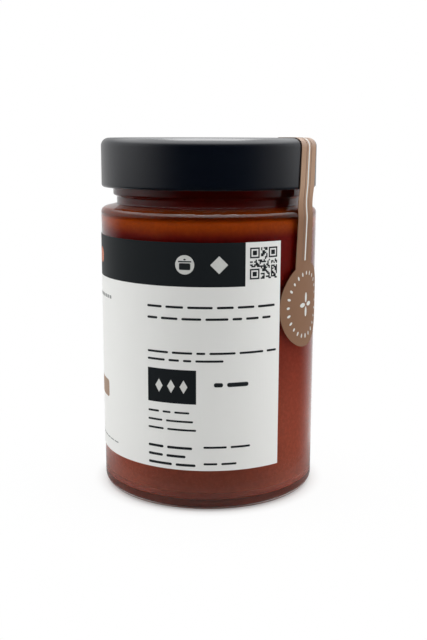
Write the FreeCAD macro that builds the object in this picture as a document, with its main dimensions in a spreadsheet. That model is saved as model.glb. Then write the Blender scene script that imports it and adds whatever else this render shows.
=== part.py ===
import FreeCAD, Part
import math
import os
import Sketcher

# A closed twist-off jar of tomato sauce: glass jar, sauce, pressed metal lid,
# paper label round the body and a paper seal from the lid down onto the glass.
# Millimetres, +Z up, origin in the middle of the ring the jar stands on.

doc = FreeCAD.newDocument("tomatoSauceJar")

# Driving dimensions. Insets go in from the glass body's side, drops go down
# from the lid's top, and angles run round the axis from -Y towards +X.
sizes = {
    "totalHeight": 120.0,
    # glass body
    "glassRadius": 37.0,
    "glassWall": 2.6,
    "heelRound": 2.8,
    "ringWidth": 7.0,
    "ringRound": 0.5,
    "puntSlope": 3.0,
    "puntHeight": 1.4,
    "floorEdge": 2.8,
    "floorMiddle": 4.2,
    "floorRound": 3.0,
    # shoulder, waist and finish of the glass
    "shoulderDrop": 23.25,
    "shoulderRise": 1.3,
    "shoulderRound": 2.0,
    "shoulderWall": 3.0,
    "waistInset": 5.4,
    "waistHeight": 2.65,
    "coveRound": 0.6,
    "finishInset": 4.2,
    "finishWall": 4.0,
    "finishStep": 0.4,
    "finishRound": 0.4,
    "rimRound": 1.3,
    "threadDrop": 9.0,
    "threadHalf": 1.0,
    "threadSlope": 1.0,
    "threadDepth": 1.5,
    # sauce
    "sauceDrop": 10.0,
    # lid
    "lidHeight": 16.3,
    "lidSheet": 0.4,
    "lidRound": 1.8,
    "lidClearance": 0.6,
    "curlWidth": 1.8,
    "curlRound": 0.85,
    "panelInset": 1.8,
    "panelSlope": 1.0,
    "panelDepth": 0.7,
    "panelRound": 0.5,
    "buttonRadius": 10.0,
    "buttonSlope": 1.5,
    "buttonDepth": 0.3,
    # label
    "labelPaper": 0.15,
    "labelBottom": 14.0,
    "labelMargin": 8.75,
    "labelFrontGap": 0.45,
    "labelBackGap": 2.85,
    # seal
    "sealPaper": 0.2,
    "sealAngle": 60.6,
    "sealDrop": 54.4,
    "sealRadius": 14.2,
    "stripWidth": 11.2,
    "stripShift": 1.75,
    "stripLean": 3.8,
    "stripReach": 16.7,
}

sheet = doc.addObject("Spreadsheet::Sheet", "Sizes")
for row, (name, value) in enumerate(sizes.items(), start=1):
    sheet.set(f"A{row}", name)
    sheet.set(f"B{row}", str(value))
    sheet.setAlias(f"B{row}", name)
doc.recompute()


def worth(sum_text):
    """Adds up a text such as 'glassRadius - glassWall' from the sizes."""
    total = 0.0
    sign = 1
    for word in sum_text.split():
        if word in ("+", "-"):
            sign = 1 if word == "+" else -1
        elif word != "0":
            total += sign * sizes[word]
    return total


def bound(sum_text):
    """The same text as an expression on the sheet's cells."""
    words = sum_text.split()
    return " ".join(word if word in ("+", "-", "0") else "Sizes." + word for word in words)


def plane_of(body, role):
    for feature in body.Origin.OriginFeatures:
        if feature.Role == role:
            return feature
    raise ValueError(role)


def pin(sketch, geometry, across, up):
    """Holds a point or a line's start at the two bound distances from the origin."""
    for kind, axis, text in (("DistanceX", -2, across), ("DistanceY", -1, up)):
        if text == "0":
            sketch.addConstraint(Sketcher.Constraint("PointOnObject", geometry, 1, axis))
        else:
            held = Sketcher.Constraint(kind, -1, 1, geometry, 1, worth(text))
            sketch.setExpression(f"Constraints[{sketch.addConstraint(held)}]", bound(text))


def arc_between(centre, radius, begin, end):
    """Arc of a sketch, anticlockwise from one point to the other."""
    begin_angle = math.atan2(begin.y - centre.y, begin.x - centre.x)
    end_angle = math.atan2(end.y - centre.y, end.x - centre.x)
    circle = Part.Circle(centre, FreeCAD.Vector(0, 0, 1), radius)
    return Part.ArcOfCircle(circle, begin_angle, end_angle)


def draw_outline(sketch, corners):
    """Closed outline through corners of (across, up, rounding), each bound to the sheet."""
    count = len(corners)
    points = [FreeCAD.Vector(worth(across), worth(up), 0) for across, up, rounding in corners]
    arrivals = list(points)
    departures = list(points)
    arcs = {}
    for index, (across, up, rounding) in enumerate(corners):
        if rounding is None:
            continue
        corner = points[index]
        back = (points[index - 1] - corner).normalize()
        ahead = (points[(index + 1) % count] - corner).normalize()
        half = back.getAngle(ahead) / 2
        radius = worth(rounding)
        arrivals[index] = corner + back * (radius / math.tan(half))
        departures[index] = corner + ahead * (radius / math.tan(half))
        centre = corner + (back + ahead).normalize() * (radius / math.sin(half))
        turns_left = back.cross(ahead).z < 0
        ends = [arrivals[index], departures[index]]
        if not turns_left:
            ends.reverse()
        arcs[index] = (arc_between(centre, radius, *ends), turns_left)

    lines = []
    for index in range(count):
        end = arrivals[(index + 1) % count]
        lines.append(sketch.addGeometry(Part.LineSegment(departures[index], end)))

    for index, (across, up, rounding) in enumerate(corners):
        before, after = lines[index - 1], lines[index]
        if rounding is None:
            sketch.addConstraint(Sketcher.Constraint("Coincident", before, 2, after, 1))
            pin(sketch, after, across, up)
            continue
        shape, turns_left = arcs[index]
        arc = sketch.addGeometry(shape)
        arc_start, arc_end = (1, 2) if turns_left else (2, 1)
        sketch.addConstraint(Sketcher.Constraint("Tangent", before, 2, arc, arc_start))
        sketch.addConstraint(Sketcher.Constraint("Tangent", arc, arc_end, after, 1))
        held = sketch.addConstraint(Sketcher.Constraint("Radius", arc, worth(rounding)))
        sketch.setExpression(f"Constraints[{held}]", bound(rounding))
        corner = sketch.addGeometry(Part.Point(points[index]), True)
        sketch.addConstraint(Sketcher.Constraint("PointOnObject", corner, 1, before))
        sketch.addConstraint(Sketcher.Constraint("PointOnObject", corner, 1, after))
        pin(sketch, corner, across, up)


def turned_body(label, corners, sweep="360"):
    """A body turned about Z from an outline in the XZ plane."""
    body = doc.addObject("PartDesign::Body", label)
    body.Label = label
    sketch = body.newObject("Sketcher::SketchObject", label + "Outline")
    sketch.AttachmentSupport = (plane_of(body, "XZ_Plane"), [""])
    sketch.MapMode = "FlatFace"
    draw_outline(sketch, corners)
    turn = body.newObject("PartDesign::Revolution", label + "Turn")
    turn.Profile = sketch
    turn.ReferenceAxis = (sketch, ["V_Axis"])
    turn.setExpression("Angle", sweep)
    return body


def place(piece, at, axis, angle):
    """Binds a piece's placement to the sheet: a point, an axis and an angle as texts."""
    piece.setExpression("Placement", f"placement(vector({at}); rotation(vector({axis}); {angle}))")


# Radii and heights that more than one piece uses
bodyInside = "glassRadius - glassWall"
shoulder = "totalHeight - shoulderDrop"
shoulderInside = shoulder + " - shoulderWall"
waistRadius = "glassRadius - waistInset"
waistBottom = shoulder + " + shoulderRise"
finishRadius = "glassRadius - finishInset"
finishBottom = waistBottom + " + waistHeight"
mouthRadius = finishRadius + " - finishWall"
threadRadius = finishRadius + " + threadDepth"
threadMiddle = "totalHeight - threadDrop"
rimTop = "totalHeight - lidSheet"
curlInside = threadRadius + " + lidClearance"
lidRadius = curlInside + " + curlWidth"
lidBottom = "totalHeight - lidHeight"
panelRadius = mouthRadius + " - panelInset"
panelOuter = panelRadius + " + panelSlope"
panelTop = "totalHeight - panelDepth"
sauceTop = "totalHeight - sauceDrop"

# The inside of the glass is also the outside of the sauce.
glassInside = [
    ("0", "floorMiddle", None),
    (bodyInside, "floorEdge", "floorRound"),
    (bodyInside, shoulderInside, "shoulderRound"),
    (mouthRadius, shoulderInside + " + shoulderRise", "shoulderRound"),
]

# Glass jar: up the outside from the punt, over the rim and down the inside.
ringInner = "glassRadius - ringWidth"
jar = turned_body("glass_jar", [
    ("0", "puntHeight", None),
    (ringInner + " - puntSlope", "puntHeight", "ringRound"),
    (ringInner, "0", "ringRound"),
    ("glassRadius", "0", "heelRound"),
    ("glassRadius", shoulder, "shoulderRound"),
    (waistRadius, waistBottom, "coveRound"),
    (waistRadius, finishBottom, "finishRound"),
    (finishRadius, finishBottom + " + finishStep", "finishRound"),
    (finishRadius, threadMiddle + " - threadHalf - threadSlope", "finishRound"),
    (threadRadius, threadMiddle + " - threadHalf", "finishRound"),
    (threadRadius, threadMiddle + " + threadHalf", "finishRound"),
    (finishRadius, threadMiddle + " + threadHalf + threadSlope", "finishRound"),
    (finishRadius, rimTop, "rimRound"),
    (mouthRadius, rimTop, "rimRound"),
] + glassInside[::-1])

# Sauce: one solid that fills the glass up to its level in the neck.
sauce = turned_body("sauce", glassInside + [
    (mouthRadius, sauceTop, None),
    ("0", sauceTop, None),
])

# Lid: thin sheet with a rolled lower edge, a sunk panel and a drawn-in button.
buttonOuter = "buttonRadius + buttonSlope"
buttonTop = panelTop + " - buttonDepth"
curlTop = lidBottom + " + curlWidth"
lid = turned_body("lid", [
    ("0", buttonTop + " - lidSheet", None),
    ("buttonRadius", buttonTop + " - lidSheet", "panelRound"),
    (buttonOuter, panelTop + " - lidSheet", "panelRound"),
    (panelRadius, panelTop + " - lidSheet", "panelRound"),
    (panelOuter, rimTop, "panelRound"),
    (lidRadius + " - lidSheet", rimTop, "lidRound - lidSheet"),
    (lidRadius + " - lidSheet", curlTop, None),
    (curlInside, curlTop, "curlRound"),
    (curlInside, lidBottom, "curlRound"),
    (lidRadius, lidBottom, "curlRound"),
    (lidRadius, "totalHeight", "lidRound"),
    (panelOuter, "totalHeight", "panelRound"),
    (panelRadius, panelTop, "panelRound"),
    (buttonOuter, panelTop, "panelRound"),
    ("buttonRadius", buttonTop, "panelRound"),
    ("0", buttonTop, None),
])

# Label: paper round the body, open where the seal's round end lies.
labelRadius = "glassRadius + labelPaper"
labelTop = shoulder + " - labelMargin"
frontTurn = "asin((Sizes.sealRadius + Sizes.labelFrontGap) / Sizes.glassRadius)"
backTurn = "asin((Sizes.sealRadius + Sizes.labelBackGap) / Sizes.glassRadius)"
label = turned_body("label", [
    ("glassRadius", "labelBottom", None),
    (labelRadius, "labelBottom", None),
    (labelRadius, labelTop, None),
    ("glassRadius", labelTop, None),
], f"360 deg - {frontTurn} - {backTurn}")
place(label, "0; 0; 0", "0; 0; 1", f"Sizes.sealAngle * 1 deg + {backTurn} - 90 deg")

# Seal: a paper skin over lid and shoulder, cut to a round end and a leaning strip.
sealMiddle = "totalHeight - sealDrop"
sealInnerEnd = panelRadius + " - stripReach"
sealOnGlass = "glassRadius + sealPaper"
sealOnLid = lidRadius + " + sealPaper"
shoulderSide = shoulder + " - shoulderRound"
skirtBottom = lidBottom + " + curlRound"
skinBottom = sealMiddle + " - sealRadius - stripWidth"

skinOutline = doc.addObject("Sketcher::SketchObject", "sealSkinOutline")
skinOutline.Placement.Rotation = FreeCAD.Rotation(FreeCAD.Vector(1, 0, 0), 90)
draw_outline(skinOutline, [
    ("glassRadius", skinBottom, None),
    (sealOnGlass, skinBottom, None),
    (sealOnGlass, shoulderSide, None),
    (sealOnLid, skirtBottom, None),
    (sealOnLid, "totalHeight + sealPaper", "lidRound + sealPaper"),
    (panelOuter, "totalHeight + sealPaper", "panelRound"),
    (panelRadius, panelTop + " + sealPaper", "panelRound"),
    (sealInnerEnd, panelTop + " + sealPaper", None),
    (sealInnerEnd, panelTop, None),
    (panelRadius, panelTop, "panelRound"),
    (panelOuter, "totalHeight", "panelRound"),
    (lidRadius, "totalHeight", "lidRound"),
    (lidRadius, skirtBottom, None),
    ("glassRadius", shoulderSide, None),
])
skin = doc.addObject("Part::Revolution", "sealSkin")
skin.Source = skinOutline
skin.Axis = FreeCAD.Vector(0, 0, 1)
skin.Angle = 360
skin.Solid = True

# The cutter starts at the strip's end on the lid and reaches out past the glass.
cutterStart = f"({bound(lidRadius)} - Sizes.stripReach)"
sealHeight = bound(sealMiddle)
disc = doc.addObject("Part::Cylinder", "sealDisc")
disc.setExpression("Radius", "Sizes.sealRadius")
disc.setExpression("Height", "Sizes.glassRadius")
place(disc, f"0; -{cutterStart}; {sealHeight}", "1; 0; 0", "90")

strip = doc.addObject("Part::Box", "sealStrip")
strip.setExpression("Length", "Sizes.stripWidth")
strip.setExpression("Width", "Sizes.glassRadius")
strip.setExpression("Height", "Sizes.totalHeight")
stripSide = "-Sizes.stripShift - Sizes.stripWidth / 2"
place(strip, f"{stripSide}; -{cutterStart} - Sizes.glassRadius; {sealHeight}", "0; 1; 0", "Sizes.stripLean")

cutter = doc.addObject("Part::Fuse", "sealCutter")
cutter.Base = disc
cutter.Tool = strip
seal = doc.addObject("Part::Common", "seal")
seal.Label = "seal"
seal.Base = skin
seal.Tool = cutter
place(seal, "0; 0; 0", "0; 0; 1", "Sizes.sealAngle")

doc.recompute()

pieces = [jar, sauce, lid, label, seal]
for item in doc.Objects:
    if "Invalid" in item.State or "Error" in item.State:
        raise RuntimeError(f"{item.Label} did not compute")
for piece in pieces:
    if piece.Shape.isNull() or not piece.Shape.isValid():
        raise RuntimeError(f"{piece.Label} has no valid shape")
    if len(piece.Shape.Solids) != 1:
        raise RuntimeError(f"{piece.Label} is not one solid")

os.makedirs("parts", exist_ok=True)
for piece in pieces:
    piece.Shape.exportStep(f"parts/{piece.Label}.step")
    print(f"{piece.Label}: {piece.Shape.Volume / 1000:.2f} cm3")
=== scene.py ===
import math
import random

import bpy
from mathutils import Matrix, Vector


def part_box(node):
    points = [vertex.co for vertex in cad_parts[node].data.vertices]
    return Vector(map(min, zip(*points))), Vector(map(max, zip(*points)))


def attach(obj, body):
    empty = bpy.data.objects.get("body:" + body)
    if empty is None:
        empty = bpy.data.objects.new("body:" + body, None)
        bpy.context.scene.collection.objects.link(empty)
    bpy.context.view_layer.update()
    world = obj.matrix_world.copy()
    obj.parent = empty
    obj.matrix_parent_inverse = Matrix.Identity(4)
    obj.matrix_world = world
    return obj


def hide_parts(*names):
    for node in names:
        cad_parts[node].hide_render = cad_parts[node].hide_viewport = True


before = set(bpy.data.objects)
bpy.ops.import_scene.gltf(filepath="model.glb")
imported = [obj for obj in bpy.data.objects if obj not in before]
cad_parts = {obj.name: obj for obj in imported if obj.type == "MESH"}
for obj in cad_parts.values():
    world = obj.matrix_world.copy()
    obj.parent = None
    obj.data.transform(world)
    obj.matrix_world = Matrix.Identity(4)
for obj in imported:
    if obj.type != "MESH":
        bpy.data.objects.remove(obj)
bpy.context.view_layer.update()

# Jar of tomato sauce: clear glass, sauce, dark twist-off lid, paper label and
# brown paper seal. Metres, +Z up, the jar stands on z = 0 and faces -Y.

mm = 0.001
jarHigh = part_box("glass_jar")[1]
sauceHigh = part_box("sauce")[1]
lidLow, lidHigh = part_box("lid")
labelLow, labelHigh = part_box("label")
glassRadius = jarHigh.x
lidRadius = lidHigh.x
lidTop = lidHigh.z


class Signal:
    # a socket that takes part in sums, so shader maths reads as arithmetic
    def __init__(self, sheet, socket):
        self.sheet = sheet
        self.socket = socket

    def maths(self, operation, first, second=0.0):
        return self.sheet.node("ShaderNodeMath", {"operation": operation}, {0: first, 1: second})

    def __add__(self, other):
        return self.maths("ADD", self, other)

    def __radd__(self, other):
        return self.maths("ADD", other, self)

    def __sub__(self, other):
        return self.maths("SUBTRACT", self, other)

    def __rsub__(self, other):
        return self.maths("SUBTRACT", other, self)

    def __mul__(self, other):
        return self.maths("MULTIPLY", self, other)

    def __rmul__(self, other):
        return self.maths("MULTIPLY", other, self)

    def __truediv__(self, other):
        return self.maths("DIVIDE", self, other)

    def __gt__(self, other):
        return self.maths("GREATER_THAN", self, other)

    def __lt__(self, other):
        return self.maths("LESS_THAN", self, other)


class Sheet:
    # one node tree; node() adds every node in it
    def __init__(self, tree):
        self.tree = tree
        tree.nodes.clear()

    def node(self, kind, settings={}, sockets={}, out=0):
        made = self.tree.nodes.new(kind)
        for name, value in settings.items():
            setattr(made, name, value)
        for name, value in sockets.items():
            if isinstance(value, Signal):
                self.tree.links.new(value.socket, made.inputs[name])
            else:
                made.inputs[name].default_value = value
        return Signal(self, made.outputs[out]) if len(made.outputs) else made

    def place(self):
        # object coordinates in millimetres
        spot = self.node("ShaderNodeTexCoord", out="Object")
        return self.node("ShaderNodeMapping", {}, {0: spot, "Scale": (1000, 1000, 1000)})

    def split(self, vector):
        return [self.node("ShaderNodeSeparateXYZ", {}, {0: vector}, out=axis) for axis in range(3)]

    def ease(self, value, low, high, floor=0.0, ceiling=1.0):
        soft = {"interpolation_type": "SMOOTHSTEP"}
        return self.node("ShaderNodeMapRange", soft, {0: value, 1: low, 2: high, 3: floor, 4: ceiling})

    def noise(self, where, scale, detail=2.0):
        return self.node("ShaderNodeTexNoise", {}, {"Vector": where, "Scale": scale, "Detail": detail})

    def blend(self, amount, first, second):
        colours = {"data_type": "RGBA"}
        return self.node("ShaderNodeMix", colours, {0: amount, 6: first, 7: second}, out=2)

    def bump(self, height, distance, strength=1.0):
        return self.node("ShaderNodeBump", {}, {"Height": height, "Distance": distance, "Strength": strength})


def finishMaterial(name, sheet, sockets):
    shader = sheet.node("ShaderNodeBsdfPrincipled", {}, sockets)
    sheet.node("ShaderNodeOutputMaterial", {}, {"Surface": shader})
    print("material", name)


def newMaterial(name):
    material = bpy.data.materials.new(name)
    material.use_nodes = True
    return material, Sheet(material.node_tree)


def opaque(colour):
    return (*colour, 1.0)


def startMesh(name):
    # an object whose mesh is one vertex at the origin, left in edit mode
    bpy.ops.object.select_all(action="DESELECT")
    bpy.ops.mesh.primitive_plane_add(size=mm)
    piece = bpy.context.object
    piece.name = name
    piece.data.name = name
    bpy.ops.object.mode_set(mode="EDIT")
    bpy.ops.mesh.merge(type="CENTER")
    return piece


def drawPath(points):
    # moves the only vertex to the first point and extrudes it through the rest
    last = Vector((0, 0, 0))
    for index, point in enumerate(points):
        step = Vector((point[0], 0, point[1])) - last
        if index == 0:
            bpy.ops.transform.translate(value=step)
        else:
            bpy.ops.mesh.extrude_region_move(TRANSFORM_OT_translate={"value": step})
        last += step


def roundCorners(corners, arcStep=math.radians(9), hold=0.25 * mm):
    # corners are (radius, height, rounding); rounds become arcs, and a point just
    # before and after each arc keeps the long walls flat when shaded smooth
    points = []
    for index, (across, up, rounding) in enumerate(corners):
        corner = Vector((across, up))
        if not rounding or index in (0, len(corners) - 1):
            points.append(tuple(corner))
            continue
        back = (Vector(corners[index - 1][:2]) - corner).normalized()
        ahead = (Vector(corners[index + 1][:2]) - corner).normalized()
        half = back.angle(ahead) / 2
        reach = rounding / math.tan(half)
        centre = corner + (back + ahead).normalized() * (rounding / math.sin(half))
        begin = corner + back * reach - centre
        turn = math.pi - 2 * half
        if begin.x * ahead.y - begin.y * ahead.x < 0:
            turn = -turn
        steps = max(2, round(abs(turn) / arcStep))
        points.append(tuple(corner + back * (reach + hold)))
        for step in range(steps + 1):
            angle = turn * step / steps
            swung = Vector((begin.x * math.cos(angle) - begin.y * math.sin(angle),
                            begin.x * math.sin(angle) + begin.y * math.cos(angle)))
            points.append(tuple(centre + swung))
        points.append(tuple(corner + ahead * (reach + hold)))
    return points


def turnPiece(name, corners, steps, hold=0.25 * mm):
    # a lathe piece: the outline spun once round Z and closed
    piece = startMesh(name)
    drawPath(roundCorners(corners, hold=hold))
    bpy.ops.mesh.select_all(action="SELECT")
    bpy.ops.mesh.spin(steps=steps, angle=math.tau, center=(0, 0, 0), axis=(0, 0, 1))
    bpy.ops.mesh.select_all(action="SELECT")
    bpy.ops.mesh.remove_doubles(threshold=0.002 * mm)
    bpy.ops.mesh.normals_make_consistent(inside=False)
    bpy.ops.object.mode_set(mode="OBJECT")
    bpy.ops.object.shade_smooth()
    return piece


def addModifier(piece, kind, settings):
    modifier = piece.modifiers.new(kind.lower(), kind)
    for name, value in settings.items():
        setattr(modifier, name, value)
    bpy.context.view_layer.objects.active = piece
    bpy.ops.object.modifier_apply(modifier=modifier.name)


def drawBar(left, right, low, high):
    # a flat upright rectangle in the plane y = 0, facing -Y, left selected
    middle = Vector(((left + right) / 2, 0, (low + high) / 2))
    bpy.ops.mesh.primitive_plane_add(size=1, location=middle, rotation=(math.pi / 2, 0, 0))
    size = (right - left, 1, high - low)
    bpy.ops.transform.resize(value=size, center_override=middle)


def drawDisc(across, up, width, height=None, turn=0.0, sides=28):
    # a flat upright disc or ellipse, turned in its own plane, left selected
    middle = Vector((across, 0, up))
    bpy.ops.mesh.primitive_circle_add(vertices=sides, radius=0.5, fill_type="NGON", location=middle,
                                      rotation=(math.pi / 2, 0, 0))
    bpy.ops.transform.resize(value=(width, 1, height or width), center_override=middle)
    if turn:
        bpy.ops.transform.rotate(value=turn, orient_axis="Y", center_override=middle)


def roundSelected(radius, segments=3):
    bpy.ops.mesh.bevel(affect="VERTICES", offset=radius, segments=segments)


def sliceUpright(step, piece):
    # cuts all flat faces into narrow strips, so that they can follow a curve
    piece.update_from_editmode()
    spots = [vertex.co.x for vertex in piece.data.vertices]
    cut = min(spots) + step / 2
    while cut < max(spots):
        bpy.ops.mesh.select_all(action="SELECT")
        bpy.ops.mesh.bisect(plane_co=(cut, 0, 0), plane_no=(1, 0, 0))
        cut += step


def sliceLevel(step, piece):
    piece.update_from_editmode()
    spots = [vertex.co.z for vertex in piece.data.vertices]
    cut = min(spots) + step / 2
    while cut < max(spots):
        bpy.ops.mesh.select_all(action="SELECT")
        bpy.ops.mesh.bisect(plane_co=(0, 0, cut), plane_no=(0, 0, 1))
        cut += step


def thicken(piece, thickness):
    # gives a flat skin its thickness outwards, with closed edges
    addModifier(piece, "SOLIDIFY", {"thickness": thickness, "offset": 1.0, "use_even_offset": False})
    bpy.ops.object.select_all(action="DESELECT")
    piece.select_set(True)
    bpy.ops.object.shade_smooth_by_angle(angle=math.radians(40))


def showPiece(piece, material, node=None):
    piece.data.materials.clear()
    piece.data.materials.append(material)
    if node:
        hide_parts(node)
    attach(piece, "root")
    print("piece", piece.name, len(piece.data.polygons), "faces")


glass = {
    "wall": 2.6 * mm,
    "heelRound": 2.8 * mm,
    "ringWidth": 7.0 * mm,
    "ringRound": 0.5 * mm,
    "puntSlope": 3.0 * mm,
    "puntHeight": 1.4 * mm,
    "floorEdge": 2.8 * mm,
    "floorMiddle": 4.2 * mm,
    "floorRound": 3.0 * mm,
    "shoulderDrop": 23.25 * mm,
    "shoulderRise": 1.3 * mm,
    "shoulderRound": 2.0 * mm,
    "shoulderWall": 3.0 * mm,
    "waistInset": 5.4 * mm,
    "waistHeight": 2.65 * mm,
    "coveRound": 0.6 * mm,
    "finishInset": 4.2 * mm,
    "finishWall": 4.0 * mm,
    "finishStep": 0.4 * mm,
    "finishRound": 0.4 * mm,
    "rimRound": 1.3 * mm,
    "steps": 240,
    "hold": 0.1 * mm,
    "tint": (0.965, 0.985, 0.975),
    "clearTint": (0.985, 0.995, 0.99),
    "roughness": 0.02,
    "ior": 1.5,
}
shoulder = lidTop - glass["shoulderDrop"]
waistRadius = glassRadius - glass["waistInset"]
waistBottom = shoulder + glass["shoulderRise"]
finishRadius = glassRadius - glass["finishInset"]
finishBottom = waistBottom + glass["waistHeight"]
mouthRadius = finishRadius - glass["finishWall"]


def insideCorners(grow=0.0):
    # the inside of the glass; the sauce has the same outline, grown into the wall
    side = glassRadius - glass["wall"] + grow
    mouth = mouthRadius + grow
    under = shoulder - glass["shoulderWall"] + grow
    rise = glass["shoulderRise"]
    return [
        (0, glass["floorMiddle"] - grow, 0),
        (side, glass["floorEdge"] - grow, glass["floorRound"]),
        (side, under, glass["shoulderRound"]),
        (mouth, under + rise, glass["shoulderRound"]),
    ]


def glassMaterial():
    material, sheet = newMaterial("clearGlass")
    where = sheet.place()
    wave = sheet.noise(where, 0.05, 1.0)
    clouds = sheet.noise(where, 0.3, 2.0)
    tint = sheet.blend(clouds, opaque(glass["tint"]), opaque(glass["clearTint"]))
    finishMaterial("clearGlass", sheet, {
        "Base Color": tint,
        "Roughness": glass["roughness"] + clouds * 0.01,
        "IOR": glass["ior"],
        "Transmission Weight": 1.0,
        "Normal": sheet.bump(wave, 0.6 * mm, 0.5),
    })
    return material


def makeGlass():
    ringInner = glassRadius - glass["ringWidth"]
    rimTop = jarHigh.z
    outside = [
        (0, glass["puntHeight"], 0),
        (ringInner - glass["puntSlope"], glass["puntHeight"], glass["ringRound"]),
        (ringInner, 0, glass["ringRound"]),
        (glassRadius, 0, glass["heelRound"]),
        (glassRadius, shoulder, glass["shoulderRound"]),
        (waistRadius, waistBottom, glass["coveRound"]),
        (waistRadius, finishBottom, glass["finishRound"]),
        (finishRadius, finishBottom + glass["finishStep"], glass["finishRound"]),
        (finishRadius, rimTop, glass["rimRound"]),
        (mouthRadius, rimTop, glass["rimRound"]),
    ]
    jar = turnPiece("jar_glass", outside + insideCorners()[::-1], glass["steps"], hold=glass["hold"])
    showPiece(jar, glassMaterial(), "glass_jar")


sauce = {
    "reach": 0.15 * mm,
    "hold": 0.03 * mm,
    "steps": 200,
    # painted light and shade: the body's colour goes from a lit tone low down to a shaded tone higher up
    "shadedBody": (0.24, 0.005, 0.001),
    "litBody": (0.72, 0.180, 0.110),
    # painted glow: the orange band under the shoulder stands in for light coming in through the shoulder's
    # glass
    "orange": (0.49, 0.067, 0.001),
    # painted shade: the sauce is darker in the neck, shaded by the lid
    "neck": (0.12, 0.003, 0.001),
    "bodyLow": 5.0,         # millimetres above the table, as the node maths reads them
    "bodyHigh": 80.0,
    "orangeLow": 88.5,
    "orangeHigh": 92.8,
    "orangeWander": 2.0,
    "neckLow": 94.2,
    "neckHigh": 95.9,
    # where the painted shade on the low band under the label's front edge lies, and how dark it is
    "shadeNear": 21.0,      # millimetres in front of the axis
    "shadeFar": 36.0,
    "shadeTop": 26.0,
    "shadeFoot": 14.0,
    "shadeDepth": 0.44,
}


def sauceMaterial():
    material, sheet = newMaterial("tomatoSauce")
    where = sheet.place()
    along, up = sheet.split(where)[1:]
    pulp = sheet.noise(where, 0.9, 3.0)
    swirl = sheet.noise(where, 0.12, 2.0)
    # painted light and shade: lighter low down, where the floor's bounce lights the sauce, darker upwards
    rise = sheet.ease(up, sauce["bodyLow"], sauce["bodyHigh"])
    body = sheet.blend(rise, opaque(sauce["litBody"]), opaque(sauce["shadedBody"]))
    # painted glow: an orange band under the shoulder, standing in for light coming in through its glass
    edge = up + swirl * sauce["orangeWander"] - sauce["orangeWander"] / 2
    paintedGlow = sheet.ease(edge, sauce["orangeLow"], sauce["orangeHigh"])
    tone = sheet.blend(paintedGlow, body, opaque(sauce["orange"]))
    # painted shade: darker in the neck, under the lid
    tone = sheet.blend(sheet.ease(up, sauce["neckLow"], sauce["neckHigh"]), tone, opaque(sauce["neck"]))
    # painted shade: the low band under the label's front edge is made darker, standing in for the light it
    # loses through the glass
    paintedShade = sheet.ease(0 - along, sauce["shadeNear"], sauce["shadeFar"])
    paintedShade = paintedShade * sheet.ease(up, sauce["shadeTop"], sauce["shadeFoot"])
    # the pulp's specks, times the painted shade under the label's front edge
    speckAndShade = sheet.ease(pulp, 0.35, 0.7, 0.93, 1.07) * (1 - paintedShade * sauce["shadeDepth"])
    grey = sheet.node("ShaderNodeCombineColor", {}, {0: speckAndShade, 1: speckAndShade, 2: speckAndShade})
    tone = sheet.node("ShaderNodeMix", {"data_type": "RGBA", "blend_type": "MULTIPLY"},
                      {0: 1.0, 6: tone, 7: grey}, out=2)
    finishMaterial("tomatoSauce", sheet, {
        "Base Color": tone,
        "Roughness": sheet.ease(pulp, 0.2, 0.8, 0.32, 0.5),
        "Specular IOR Level": 0.12,
        "Normal": sheet.bump(pulp, 0.015 * mm, 0.2),
    })
    return material


def makeSauce():
    grow = sauce["reach"]
    outline = insideCorners(grow) + [(mouthRadius + grow, sauceHigh.z, 0), (0, sauceHigh.z, 0)]
    filling = turnPiece("sauce_fill", outline, sauce["steps"], hold=sauce["hold"])
    showPiece(filling, sauceMaterial(), "sauce")


lid = {
    "sheet": 0.4 * mm,
    "round": 2.7 * mm,
    "curlWidth": 1.8 * mm,
    "curlRound": 0.85 * mm,
    "panelInset": 1.8 * mm,
    "panelSlope": 1.0 * mm,
    "panelDepth": 0.7 * mm,
    "panelRound": 0.5 * mm,
    "buttonRadius": 10.0 * mm,
    "buttonSlope": 1.5 * mm,
    "buttonDepth": 0.3 * mm,
    "steps": 220,
    "hold": 0.05 * mm,
    "lacquer": (0.0001, 0.0020, 0.0075),
    "worn": (0.0003, 0.0032, 0.0095),
    "roughness": 0.4,
    "coatRoughness": 0.26,
    "coatIor": 1.8,
    "mattCoat": 0.2,
    "mattEdge": 32.6,       # millimetres from the axis: the flat top is matt, the rim glossy
    "glossEdge": 34.6,
}


def lidMaterial():
    material, sheet = newMaterial("lidLacquer")
    where = sheet.place()
    cloud = sheet.noise(where, 0.25, 3.0)
    peel = sheet.noise(where, 3.5, 2.0)
    across, along = sheet.split(where)[:2]
    reach = sheet.node("ShaderNodeMath", {"operation": "SQRT"}, {0: across * across + along * along})
    finishMaterial("lidLacquer", sheet, {
        "Base Color": sheet.blend(cloud, opaque(lid["lacquer"]), opaque(lid["worn"])),
        "Roughness": lid["roughness"] + cloud * 0.06,
        "Specular IOR Level": 0.0,
        "Coat Weight": sheet.ease(reach, lid["mattEdge"], lid["glossEdge"], lid["mattCoat"], 1.0),
        "Coat Roughness": lid["coatRoughness"],
        "Coat IOR": lid["coatIor"],
        "Normal": sheet.bump(peel, 0.006 * mm, 0.5),
    })
    return material


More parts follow.
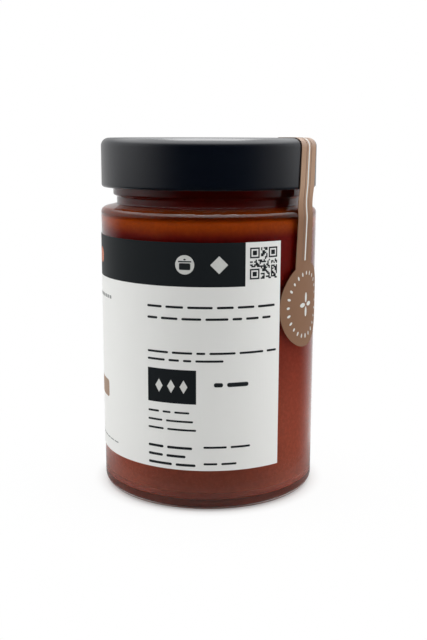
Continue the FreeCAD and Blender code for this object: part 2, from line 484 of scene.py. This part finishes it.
def makeLid():
    gauge = lid["sheet"]
    curlInside = lidRadius - lid["curlWidth"]
    curlTop = lidLow.z + lid["curlWidth"]
    panelRadius = mouthRadius - lid["panelInset"]
    panelOuter = panelRadius + lid["panelSlope"]
    panelTop = lidTop - lid["panelDepth"]
    buttonTop = panelTop - lid["buttonDepth"]
    buttonOuter = lid["buttonRadius"] + lid["buttonSlope"]
    soft = lid["panelRound"]
    cap = turnPiece("lid_cap", [
        (0, buttonTop - gauge, 0),
        (lid["buttonRadius"], buttonTop - gauge, soft),
        (buttonOuter, panelTop - gauge, soft),
        (panelRadius, panelTop - gauge, soft),
        (panelOuter, lidTop - gauge, soft),
        (lidRadius - gauge, lidTop - gauge, lid["round"] - gauge),
        (lidRadius - gauge, curlTop, 0),
        (curlInside, curlTop, lid["curlRound"]),
        (curlInside, lidLow.z, lid["curlRound"]),
        (lidRadius, lidLow.z, lid["curlRound"]),
        (lidRadius, lidTop, lid["round"]),
        (panelOuter, lidTop, soft),
        (panelRadius, panelTop, soft),
        (buttonOuter, panelTop, soft),
        (lid["buttonRadius"], buttonTop, soft),
        (0, buttonTop, 0),
    ], lid["steps"], hold=lid["hold"])
    showPiece(cap, lidMaterial(), "lid")


label = {
    "paper": 0.15 * mm,
    "frontEnd": math.radians(36.8),
    "sweep": math.radians(308.8),
    "steps": 250,
    "cuts": 7,
    "bandLow": 74.15,       # millimetres above the table, as the node maths reads them
    "panelLeft": 18.1,      # degrees from the front
    "panelRight": 60.0,
    "fieldLeft": -20.55,    # millimetres across from the front
    "fieldRight": -3.9,
    "fieldLow": 36.2,
    "fieldHigh": 47.4,
    "paperTone": (0.86, 0.865, 0.85),
    "paperShade": (0.82, 0.825, 0.805),
    "ink": (0.0040, 0.0075, 0.0105),
    "inkWorn": (0.0065, 0.0105, 0.0135),
    "ribPitch": 0.55,
}
labelRadius = glassRadius + label["paper"]


def labelMaterial():
    material, sheet = newMaterial("labelPaper")
    where = sheet.place()
    across, along, up = sheet.split(where)
    angle = sheet.node("ShaderNodeMath", {"operation": "ARCTAN2"}, {0: across, 1: 0 - along})
    arc = angle * (labelRadius / mm)
    degrees = angle * math.degrees(1)
    panel = (degrees > label["panelLeft"]) * (degrees < label["panelRight"])
    band = (up > label["bandLow"]) * (1 - panel)
    field = (arc > label["fieldLeft"]) * (arc < label["fieldRight"])
    field = field * (up > label["fieldLow"]) * (up < label["fieldHigh"])
    printed = sheet.node("ShaderNodeMath", {"operation": "MAXIMUM"}, {0: band, 1: field})
    grain = sheet.noise(where, 2.5, 3.0)
    cloud = sheet.noise(where, 0.08, 2.0)
    rib = sheet.node("ShaderNodeMath", {"operation": "SINE"}, {0: arc * (math.tau / label["ribPitch"])})
    paper = sheet.blend(cloud * 0.6 + grain * 0.4, opaque(label["paperTone"]), opaque(label["paperShade"]))
    ink = sheet.blend(grain, opaque(label["ink"]), opaque(label["inkWorn"]))
    finishMaterial("labelPaper", sheet, {
        "Base Color": sheet.blend(printed, paper, ink),
        "Roughness": 0.62 - printed * 0.12 + grain * 0.06,
        "Specular IOR Level": 0.35,
        "Normal": sheet.bump(rib * 0.5 + grain * 0.5, 0.012 * mm, 0.6),
    })
    return material


def makeLabel():
    sheet = startMesh("label_paper")
    drawPath([(glassRadius, labelLow.z), (glassRadius, labelHigh.z)])
    bpy.ops.mesh.select_all(action="SELECT")
    bpy.ops.mesh.subdivide(number_cuts=label["cuts"])
    bpy.ops.mesh.select_all(action="SELECT")
    bpy.ops.mesh.spin(steps=label["steps"], angle=label["sweep"], center=(0, 0, 0), axis=(0, 0, 1))
    bpy.ops.mesh.select_all(action="SELECT")
    bpy.ops.mesh.normals_make_consistent(inside=False)
    bpy.ops.object.mode_set(mode="OBJECT")
    # spun anticlockwise from +X; turned so that its front end lies beside the seal
    spots = [math.atan2(vertex.co.y, vertex.co.x) % math.tau for vertex in sheet.data.vertices]
    last = max(spots)
    wanted = label["frontEnd"] - math.pi / 2
    sheet.data.transform(Matrix.Rotation(wanted - last, 4, "Z"))
    outwards = sum(face.normal.dot(face.center) > 0 for face in sheet.data.polygons)
    if outwards * 2 < len(sheet.data.polygons):
        sheet.data.flip_normals()
    thicken(sheet, label["paper"])
    showPiece(sheet, labelMaterial(), "label")


inks = {
    "dark": ((0.0060, 0.0095, 0.0125), (0.012, 0.016, 0.019)),
    "light": ((0.72, 0.73, 0.71), (0.62, 0.63, 0.61)),
    "grey": ((0.30, 0.31, 0.31), (0.24, 0.25, 0.25)),
    "brown": ((0.40, 0.27, 0.19), (0.35, 0.23, 0.16)),
    "umber": ((0.175, 0.100, 0.062), (0.155, 0.088, 0.054)),
    "coral": ((0.58, 0.20, 0.12), (0.50, 0.16, 0.095)),
}
inkCoat = {"thickness": 0.02 * mm, "lift": 0.008 * mm, "layer": 0.03 * mm, "strip": 1.1 * mm}
inkMaterials = {}


def inkMaterial(tone):
    if tone not in inkMaterials:
        material, sheet = newMaterial(tone + "Ink")
        where = sheet.place()
        wear = sheet.noise(where, 1.8, 3.0)
        first, second = inks[tone]
        finishMaterial(tone + "Ink", sheet, {
            "Base Color": sheet.blend(wear, opaque(first), opaque(second)),
            "Roughness": 0.48 + wear * 0.12,
            "Specular IOR Level": 0.35,
            "Normal": sheet.bump(wear, 0.004 * mm, 0.5),
        })
        inkMaterials[tone] = material
    return inkMaterials[tone]


def finishPrint(piece, tone, layer=0):
    # wraps flat print, drawn upright in the plane y = 0, onto the label
    sliceUpright(inkCoat["strip"], piece)
    bpy.ops.object.mode_set(mode="OBJECT")
    lift = inkCoat["lift"] + layer * inkCoat["layer"]
    for vertex in piece.data.vertices:
        angle = vertex.co.x / labelRadius
        radius = labelRadius + lift
        vertex.co = (radius * math.sin(angle), -radius * math.cos(angle), vertex.co.z)
    thicken(piece, inkCoat["thickness"])
    showPiece(piece, inkMaterial(tone))


def startPrint(name):
    piece = startMesh(name)
    bpy.ops.mesh.delete(type="VERT")
    return piece


# rows of plain bars stand where words would: left and right end, middle height
# and thickness of the bars
textRows = {
    "first": (-20.5, 22.5, 67.6, 0.75),
    "second": (-20.5, 20.9, 63.9, 0.75),
    "noteA": (-20.5, 23.3, 52.9, 0.7),
    "noteB": (-20.5, 4.8, 50.4, 0.7),
    "heading": (1.75, 13.1, 42.65, 1.4),
    "smallA": (-20.5, -6.1, 33.2, 0.65),
    "smallB": (-20.5, -4.9, 30.3, 0.65),
    "smallC": (-20.5, -3.9, 27.5, 0.65),
    "capsA": (-20.5, -5.2, 21.4, 0.85),
    "capsB": (-20.5, -7.4, 18.5, 0.85),
    "capsC": (-20.5, -4.1, 15.7, 0.85),
    "stampA": (-1.55, 13.9, 21.9, 0.7),
    "stampB": (-1.5, 9.3, 16.3, 0.7),
}
textBar = {"short": 2.6, "long": 8.5, "gap": 1.3, "rounding": 0.45}


def makeWords():
    piece = startPrint("print_words")
    draw = random.Random(11)
    for left, right, middle, thick in textRows.values():
        while left < right:
            end = left + draw.uniform(textBar["short"], textBar["long"])
            if right - end < textBar["short"] + textBar["gap"]:
                end = right
            drawBar(left * mm, end * mm, (middle - thick / 2) * mm, (middle + thick / 2) * mm)
            roundSelected(thick * textBar["rounding"] * mm)
            left = end + textBar["gap"]
    finishPrint(piece, "dark")


squareCode = {
    "left": 13.2,
    "low": 76.3,
    "size": 10.0,
    "cells": 21,
    "corner": 3,            # cells from the edge to a corner's middle
    "lightRings": (2, 4),
    "lightShare": 0.5,
}


def makeSquareCode():
    # a random pattern of cells with three ringed corners
    cells = squareCode["cells"]
    size = squareCode["size"]
    cell = size / cells
    piece = startPrint("print_square")
    middle = Vector((squareCode["left"] + size / 2, 0, squareCode["low"] + size / 2))
    bpy.ops.mesh.primitive_grid_add(x_subdivisions=cells, y_subdivisions=cells, size=size * mm,
                                    location=middle * mm, rotation=(math.pi / 2, 0, 0))
    bpy.ops.mesh.select_mode(type="FACE")
    bpy.ops.mesh.select_all(action="DESELECT")
    bpy.ops.object.mode_set(mode="OBJECT")
    near = squareCode["corner"]
    far = cells - 1 - near
    draw = random.Random(5)
    for face in piece.data.polygons:
        column = int((face.center.x / mm - squareCode["left"]) / cell)
        row = int((face.center.z / mm - squareCode["low"]) / cell)
        light = draw.random() < squareCode["lightShare"]
        for cornerColumn, cornerRow in ((near, near), (near, far), (far, far)):
            ring = max(abs(column - cornerColumn), abs(row - cornerRow))
            if ring <= near + 1:
                light = ring in squareCode["lightRings"]
        face.select = light
    bpy.ops.object.mode_set(mode="EDIT")
    bpy.ops.mesh.delete(type="FACE")
    bpy.ops.mesh.select_mode(type="VERT")
    finishPrint(piece, "dark")


# sizes and places of the marks are in millimetres, across from the front and up
lightMarks = {
    "disc": (-7.5, 81.1, 6.1),
    "lozenge": (3.3, 81.1, 5.6),
    "row": 3,
    "rowLeft": -16.4,
    "rowStep": 4.2,
    "rowMiddle": 41.8,
    "rowWidth": 2.6,
    "rowHeight": 4.4,
}


def makeLightMarks():
    # a disc and a lozenge on the dark band, and a row of lozenges on the dark field
    piece = startPrint("print_light")
    across, up, width = lightMarks["disc"]
    drawDisc(across * mm, up * mm, width * mm)
    across, up, width = lightMarks["lozenge"]
    drawDisc(across * mm, up * mm, width * mm, sides=4)
    for count in range(lightMarks["row"]):
        across = lightMarks["rowLeft"] + count * lightMarks["rowStep"]
        drawDisc(across * mm, lightMarks["rowMiddle"] * mm, lightMarks["rowWidth"] * mm,
                 lightMarks["rowHeight"] * mm, sides=4)
    finishPrint(piece, "light")


pot = {
    "body": (-9.3, -5.7, 79.5, 81.6),       # left, right, foot and top
    "bodyRound": 0.35,
    "cover": (-9.6, -5.4, 81.9, 82.3),
    "knob": (-7.5, 82.75, 0.8, 0.5),        # middle, width and height
}


def makeDarkMarks():
    # the small pot on the light disc
    piece = startPrint("print_pot")
    drawBar(*(value * mm for value in pot["body"]))
    roundSelected(pot["bodyRound"] * mm)
    drawBar(*(value * mm for value in pot["cover"]))
    drawDisc(*(value * mm for value in pot["knob"]), sides=12)
    finishPrint(piece, "dark", layer=1)


sideMarks = {
    "spot": (-49.1, 81.2, 5.4),
    "blocks": ((-84.0, -72.5), (-70.5, -58.5), (-56.5, -42.6)),
    "blockFoot": 32.7,
    "blockTop": 38.7,
    "blockRound": 1.2,
    "dashes": {
        "count": 9, "left": -57.5, "step": 2.1, "length": 1.5, "foot": 67.3, "top": 68.4, "round": 0.3,
    },
    "rules": {
        "count": 6, "left": -55.0, "step": 3.3, "length": 2.7, "foot": 18.1, "top": 18.5, "round": 0,
    },
}


def makeSideMarks():
    # what shows at the left edge: a spot on the band, blocks and two rows of thin bars
    spot = startPrint("print_spot")
    drawDisc(*(value * mm for value in sideMarks["spot"]))
    finishPrint(spot, "coral")
    block = startPrint("print_block")
    for left, right in sideMarks["blocks"]:
        drawBar(left * mm, right * mm, sideMarks["blockFoot"] * mm, sideMarks["blockTop"] * mm)
        roundSelected(sideMarks["blockRound"] * mm, 5)
    finishPrint(block, "brown")
    lines = startPrint("print_lines")
    for row in (sideMarks["dashes"], sideMarks["rules"]):
        for count in range(row["count"]):
            left = row["left"] + count * row["step"]
            drawBar(left * mm, (left + row["length"]) * mm, row["foot"] * mm, row["top"] * mm)
            if row["round"]:
                roundSelected(row["round"] * mm)
    finishPrint(lines, "grey")


seal = {
    "angle": math.radians(60.6),
    "middle": lidTop - 54.4 * mm,
    "paper": 0.2 * mm,
    "discRadius": 14.2 * mm,
    "stripWidth": 11.4 * mm,
    "stripShift": 2.35 * mm,
    "lean": math.radians(3.8),
    "endRadius": 20.0 * mm,
    "flatness": 0.7,
    "sag": 0.35 * mm,
    "paperTone": (0.245, 0.128, 0.070),
    "paperShade": (0.215, 0.108, 0.058),
    "paperHigh": (0.46, 0.30, 0.20),
    "steps": 72,
    "strip": 1.0 * mm,      # width of the strips it is cut into before it is folded on
    "paleLow": 92.0,        # millimetres above the table: paler from here up
    "paleHigh": 106.0,
    "pale": 0.62,
    "shineLow": 116.6,
    "shineHigh": 118.8,
    "shineIn": 32.8,        # millimetres from the axis
    "shineOut": 34.6,
    "coatRoughness": 0.3,
    "coatIor": 1.8,
}


def sealPlace(across, travel, lift=0.0):
    # where a point of the flat seal lies: up the glass, over the neck, up the
    # lid's side, round its edge and in over its top
    lidSkin = lidRadius + lift
    top = lidTop + lift
    bend = lid["round"] + lift
    sideEnd = lidTop - lid["round"]
    glassEnd = shoulder - glass["shoulderRound"]
    lidStart = lidLow.z + lid["curlRound"]
    flat = seal["flatness"]
    if travel < glassEnd:
        radius, height, flat = glassRadius + lift, travel, 0.0
    elif travel < lidStart:
        part = (travel - glassEnd) / (lidStart - glassEnd)
        radius = glassRadius + (lidRadius - glassRadius) * part + lift
        radius -= seal["sag"] * math.sin(math.pi * part)
        height, flat = travel, flat * part * part * (3 - 2 * part)
    elif travel < sideEnd:
        radius, height = lidSkin, travel
    else:
        turned = (travel - sideEnd) / lid["round"]
        if turned < math.pi / 2:
            radius = lidRadius - lid["round"] + bend * math.cos(turned)
            height = sideEnd + bend * math.sin(turned)
        else:
            inwards = (turned - math.pi / 2) * lid["round"]
            radius = lidRadius - lid["round"] - inwards
            edge = mouthRadius - lid["panelInset"] + lid["panelSlope"]
            drop = min(max((edge - radius) / lid["panelSlope"], 0.0), 1.0)
            height = top - lid["panelDepth"] * drop
    forward = math.sqrt(max(radius * radius - (1 - flat) * across * across, 0.0))
    out = Vector((math.sin(seal["angle"]), -math.cos(seal["angle"]), 0))
    side = Vector((math.cos(seal["angle"]), math.sin(seal["angle"]), 0))
    return side * across + out * forward + Vector((0, 0, height))


def stripMiddle(travel):
    # the strip leans up to the lid's edge and runs straight in over the top
    rise = min(travel, lidTop - lid["round"]) - seal["middle"]
    return -seal["stripShift"] + math.tan(seal["lean"]) * rise


def sealMaterial():
    material, sheet = newMaterial("sealPaper")
    where = sheet.place()
    grain = sheet.noise(where, 3.2, 3.0)
    cloud = sheet.noise(where, 0.12, 2.0)
    across, along, up = sheet.split(where)
    tone = sheet.blend(grain * 0.55 + cloud * 0.45, opaque(seal["paperTone"]), opaque(seal["paperShade"]))
    pale = sheet.ease(up, seal["paleLow"], seal["paleHigh"], 0.0, seal["pale"])
    tone = sheet.blend(pale, tone, opaque(seal["paperHigh"]))
    # stretched round the lid's edge, the paper shines
    reach = sheet.node("ShaderNodeMath", {"operation": "SQRT"}, {0: across * across + along * along})
    shine = sheet.ease(up, seal["shineLow"], seal["shineHigh"])
    shine = shine * sheet.ease(reach, seal["shineIn"], seal["shineOut"])
    finishMaterial("sealPaper", sheet, {
        "Base Color": tone,
        "Coat Weight": shine,
        "Coat Roughness": seal["coatRoughness"],
        "Coat IOR": seal["coatIor"],
        "Roughness": 0.66 + grain * 0.1,
        "Specular IOR Level": 0.3,
        "Normal": sheet.bump(grain, 0.02 * mm, 0.5),
    })
    return material


def foldOn(piece, lift, thickness):
    sliceUpright(seal["strip"], piece)
    sliceLevel(seal["strip"], piece)
    bpy.ops.object.mode_set(mode="OBJECT")
    for vertex in piece.data.vertices:
        vertex.co = sealPlace(vertex.co.x, vertex.co.z, lift)
    thicken(piece, thickness)


def sealTravelEnd():
    overEdge = lid["round"] * math.pi / 2
    overTop = lidRadius - lid["round"] - seal["endRadius"]
    return lidTop - lid["round"] + overEdge + overTop


def makeSeal():
    # a round end and a strip in one flat sheet, folded on afterwards
    sheet = startMesh("seal_paper")
    half = seal["stripWidth"] / 2
    radius = seal["discRadius"]
    centre = seal["middle"]
    right = math.asin((stripMiddle(centre + radius) + half) / radius)
    left = math.asin((stripMiddle(centre + radius) - half) / radius)
    turn = math.tau - (right - left)
    rim = []
    for step in range(seal["steps"] + 1):
        angle = right + turn * step / seal["steps"]
        rim.append((radius * math.sin(angle), centre + radius * math.cos(angle)))
    drawPath(rim)
    bpy.ops.mesh.select_all(action="SELECT")
    bpy.ops.mesh.edge_face_add()
    bpy.ops.mesh.select_all(action="DESELECT")
    bpy.ops.object.mode_set(mode="OBJECT")
    ends = (Vector((rim[0][0], 0, rim[0][1])), Vector((rim[-1][0], 0, rim[-1][1])))
    for edge in sheet.data.edges:
        spots = [sheet.data.vertices[index].co for index in edge.vertices]
        near = [min((spot - end).length for end in ends) < 0.01 * mm for spot in spots]
        edge.select = all(near)
        if all(near):
            for index in edge.vertices:
                sheet.data.vertices[index].select = True
    bpy.ops.object.mode_set(mode="EDIT")
    bpy.ops.mesh.select_mode(type="EDGE")
    start = (rim[0][1] + rim[-1][1]) / 2
    bendAt = lidTop - lid["round"]
    rise = bendAt - start
    shift = math.tan(seal["lean"]) * rise
    bpy.ops.mesh.extrude_region_move(TRANSFORM_OT_translate={"value": (shift, 0, rise)})
    bpy.ops.mesh.extrude_region_move(TRANSFORM_OT_translate={"value": (0, 0, sealTravelEnd() - bendAt)})
    bpy.ops.mesh.select_mode(type="VERT")
    bpy.ops.mesh.select_all(action="SELECT")
    bpy.ops.mesh.normals_make_consistent(inside=False)
    foldOn(sheet, 0.0, seal["paper"])
    showPiece(sheet, sealMaterial(), "seal")


sealPrint = {
    "lineWidth": 0.85 * mm,
    "flankWidth": 0.4 * mm,
    "flankGap": 1.9 * mm,
    "lineLow": 80.5 * mm,
    "lineShort": 1.0 * mm,  # how far the lines stop from the strip's end
    "ringRadius": 10.6 * mm,
    "dashes": 24,
    "dashWidth": 0.85 * mm,
    "dashLength": 1.6 * mm,
    "petals": 4,
    "petalReach": 2.4 * mm,
    "petalWidth": 1.5 * mm,
    "petalLength": 3.4 * mm,
}


def makeStripLine(name, tone, offset, width):
    # one printed line that follows the strip from below the neck to its end on the lid
    line = startPrint(name)
    drawBar(-width / 2, width / 2, sealPrint["lineLow"], sealTravelEnd() - sealPrint["lineShort"])
    sliceLevel(seal["strip"], line)
    bpy.ops.object.mode_set(mode="OBJECT")
    for vertex in line.data.vertices:
        across = vertex.co.x + offset + stripMiddle(vertex.co.z)
        vertex.co = sealPlace(across, vertex.co.z, seal["paper"] + inkCoat["lift"])
    thicken(line, inkCoat["thickness"])
    showPiece(line, inkMaterial(tone))


def makeSealPrint():
    makeStripLine("print_line", "light", 0.0, sealPrint["lineWidth"])
    for name, side in (("print_flank_left", -1), ("print_flank_right", 1)):
        makeStripLine(name, "umber", side * sealPrint["flankGap"], sealPrint["flankWidth"])

    ring = startPrint("print_seal_ring")
    draw = random.Random(3)
    for count in range(sealPrint["dashes"]):
        angle = math.tau * count / sealPrint["dashes"]
        reach = sealPrint["ringRadius"]
        across = reach * math.sin(angle)
        up = seal["middle"] + reach * math.cos(angle)
        length = sealPrint["dashLength"] * draw.uniform(0.75, 1.1)
        drawDisc(across, up, sealPrint["dashWidth"], length, turn=-angle, sides=10)
    for count in range(sealPrint["petals"]):
        angle = math.tau * count / sealPrint["petals"]
        across = sealPrint["petalReach"] * math.sin(angle)
        up = seal["middle"] + sealPrint["petalReach"] * math.cos(angle)
        drawDisc(across, up, sealPrint["petalWidth"], sealPrint["petalLength"], turn=-angle, sides=14)
    foldOn(ring, seal["paper"] + inkCoat["lift"], inkCoat["thickness"])
    showPiece(ring, inkMaterial("light"))


camera = {
    "place": (0.0, -0.3190, 0.1181),
    "pitch": math.radians(79.10),
    "yaw": math.radians(-0.32),
    "roll": math.radians(0.18),
    "lens": 51.506,
    "sensor": 36.0,
    "clipStart": 0.01,
    "clipEnd": 50,
}
# levels of the tent, and where each change starts and ends: "ahead" runs from 1
# at the viewer's side to -1 behind the jar, "up" from 0 level to 1 overhead
studio = {
    "front": 0.0,
    "back": 0.55,
    "frontNear": 0.05,
    "frontFar": 0.52,
    "side": 2.1,
    "sideRight": 0.4,
    "sideAt": 0.13,
    "sideSpread": 0.28,
    "top": 0.7,
    "level": 1.22,
    "mirrorTurn": math.radians(8),
    "mirrorRoom": 0.62,
    "mirrorBehind": 0.85,
    "mirrorTop": 2.3,
    "highUp": (0.35, 0.85),
    "backAhead": (0.2, -0.7),
    "tableUp": (-0.085, -0.05),
    "roomAhead": (0.85, -0.2),
    "behindAhead": (-0.25, -1.0),
    "canopyUp": (0.34, 0.75),
    "beyondAhead": (0.0, 0.6),
    "beyondDim": 0.05,
    "lampPlace": (0.0, 0.05, 0.62),
    "lampSize": 0.40,
    "lampPower": 2.0,
}


def makeCamera():
    data = bpy.data.cameras.new("camera")
    data.lens = camera["lens"]
    data.sensor_width = camera["sensor"]
    data.clip_start = camera["clipStart"]
    data.clip_end = camera["clipEnd"]
    viewer = bpy.data.objects.new("camera", data)
    bpy.context.scene.collection.objects.link(viewer)
    turn = Matrix.Rotation(camera["yaw"], 4, "Z") @ Matrix.Rotation(camera["pitch"], 4, "X")
    turn = turn @ Matrix.Rotation(camera["roll"], 4, "Z")
    viewer.matrix_world = Matrix.Translation(camera["place"]) @ turn
    bpy.context.scene.camera = viewer
    bpy.context.scene.view_settings.view_transform = "Standard"


def lightPaths(sheet):
    # rays from the camera, through glass and off gloss, before any dull surface
    seen = sheet.node("ShaderNodeLightPath", out="Is Camera Ray")
    glossy = sheet.node("ShaderNodeLightPath", out="Is Glossy Ray")
    through = sheet.node("ShaderNodeLightPath", out="Is Transmission Ray")
    bounced = sheet.node("ShaderNodeLightPath", out="Diffuse Depth")
    direct = 1 - (bounced > 0.5)
    return seen, through * direct, glossy * (1 - through) * direct


def makeWorld():
    # a soft tent: bright behind, at the sides and overhead, dim towards the viewer
    world = bpy.data.worlds.new("studio")
    world.use_nodes = True
    bpy.context.scene.world = world
    sheet = Sheet(world.node_tree)
    direction = sheet.node("ShaderNodeTexCoord", out="Generated")
    x, y, z = sheet.split(direction)
    level = sheet.node("ShaderNodeMath", {"operation": "SQRT"}, {0: x * x + y * y + 0.0001})
    ahead = (0 - y) / level
    high = sheet.ease(z, *studio["highUp"])
    tent = sheet.ease(ahead, studio["frontNear"], studio["frontFar"], 1.0, studio["front"])
    tent = tent * sheet.ease(ahead, *studio["backAhead"], 1.0, studio["back"])
    offset = (ahead - studio["sideAt"]) / studio["sideSpread"]
    boxes = sheet.node("ShaderNodeMath", {"operation": "EXPONENT"}, {0: 0 - offset * offset})
    sideLevel = x / level * studio["sideRight"] + studio["side"]
    lit = (tent + boxes * sideLevel) * (1 - high) + high * studio["top"]
    # what gloss shows: above the table the pale room at the sides and behind and a
    # canopy overhead, below it only what lies behind
    turned = ahead * math.cos(studio["mirrorTurn"]) + x / level * math.sin(studio["mirrorTurn"])
    above = sheet.ease(z, *studio["tableUp"])
    room = sheet.ease(turned, *studio["roomAhead"]) * above * studio["mirrorRoom"]
    behind = sheet.ease(turned, *studio["behindAhead"]) * (1 - above) * studio["mirrorBehind"]
    canopy = sheet.ease(z, *studio["canopyUp"]) * studio["mirrorTop"]
    shown = (room + behind) * (1 - high) + canopy
    # what shows through glass: white behind and at the sides, dim towards the viewer
    beyond = sheet.ease(ahead, *studio["beyondAhead"], 1.0, studio["beyondDim"])
    seen, through, mirror = lightPaths(sheet)
    other = 1 - seen - through - mirror
    strength = seen + through * beyond + mirror * shown + other * lit * studio["level"]
    background = sheet.node("ShaderNodeBackground", {}, {"Color": (1, 1, 1, 1), "Strength": strength})
    sheet.node("ShaderNodeOutputWorld", {}, {"Surface": background})


def makeLamp():
    data = bpy.data.lights.new("overhead", "AREA")
    data.shape = "SQUARE"
    data.size = studio["lampSize"]
    data.energy = studio["lampPower"]
    lamp = bpy.data.objects.new("overhead", data)
    lamp.visible_camera = False
    bpy.context.scene.collection.objects.link(lamp)
    lamp.location = studio["lampPlace"]


floorLook = {
    "radius": 0.45,
    "sides": 128,
    "drop": 0.0001,
    "tone": (0.86, 0.86, 0.85),
    "shade": (0.78, 0.78, 0.77),
    "glossTone": (0.05, 0.05, 0.05),
    "glossDim": 0.6,
    # metres from the axis where a change starts and ends, then its two levels
    "contact": (0.034, 0.042, 0.25, 0.95),
    "open": (0.045, 0.12, 0.0, 0.05),
    "passed": (0.038, 0.085, 0.2, 1.0),
    "glossFade": (0.042, 0.075, 0.0, 1.0),
}


def makeFloor():
    bpy.ops.object.select_all(action="DESELECT")
    bpy.ops.mesh.primitive_circle_add(vertices=floorLook["sides"], radius=floorLook["radius"],
                                      fill_type="NGON", location=(0, 0, -floorLook["drop"]))
    floor = bpy.context.object
    floor.name = "floor"
    bpy.ops.object.transform_apply(location=True, rotation=True, scale=True)
    material, sheet = newMaterial("floorPaper")
    spot = sheet.node("ShaderNodeTexCoord", out="Object")
    x, y = sheet.split(spot)[:2]
    away = sheet.node("ShaderNodeMath", {"operation": "SQRT"}, {0: x * x + y * y})
    grain = sheet.noise(spot, 60.0, 2.0)
    tone = sheet.blend(grain, opaque(floorLook["tone"]), opaque(floorLook["shade"]))
    glow = sheet.node("ShaderNodeEmission", {}, {"Color": (1, 1, 1, 1), "Strength": 1.0})
    seen, through, mirror = lightPaths(sheet)
    # gloss shows the floor dimmer than the eye, and only close to the jar
    tone = sheet.blend(mirror * floorLook["glossDim"], tone, opaque(floorLook["glossTone"]))
    paper = sheet.node("ShaderNodeBsdfDiffuse", {}, {"Color": tone})
    white = sheet.ease(away, *floorLook["contact"]) + sheet.ease(away, *floorLook["open"])
    passed = sheet.ease(away, *floorLook["passed"])
    amount = seen * white + through * passed
    mixed = sheet.node("ShaderNodeMixShader", {}, {0: amount, 1: paper, 2: glow})
    clear = sheet.node("ShaderNodeBsdfTransparent")
    under = sheet.node("ShaderNodeNewGeometry", out="Backfacing")
    fade = sheet.ease(away, *floorLook["glossFade"])
    hidden = sheet.node("ShaderNodeMath", {"operation": "MAXIMUM"}, {0: under, 1: mirror * fade})
    shown = sheet.node("ShaderNodeMixShader", {}, {0: hidden, 1: mixed, 2: clear})
    sheet.node("ShaderNodeOutputMaterial", {}, {"Surface": shown})
    floor.data.materials.append(material)


makeCamera()
makeWorld()
makeLamp()
makeFloor()
print("camera, light and floor ready")
makeGlass()
makeSauce()
makeLid()
makeLabel()
makeWords()
makeSquareCode()
makeLightMarks()
makeDarkMarks()
makeSideMarks()
makeSeal()
makeSealPrint()
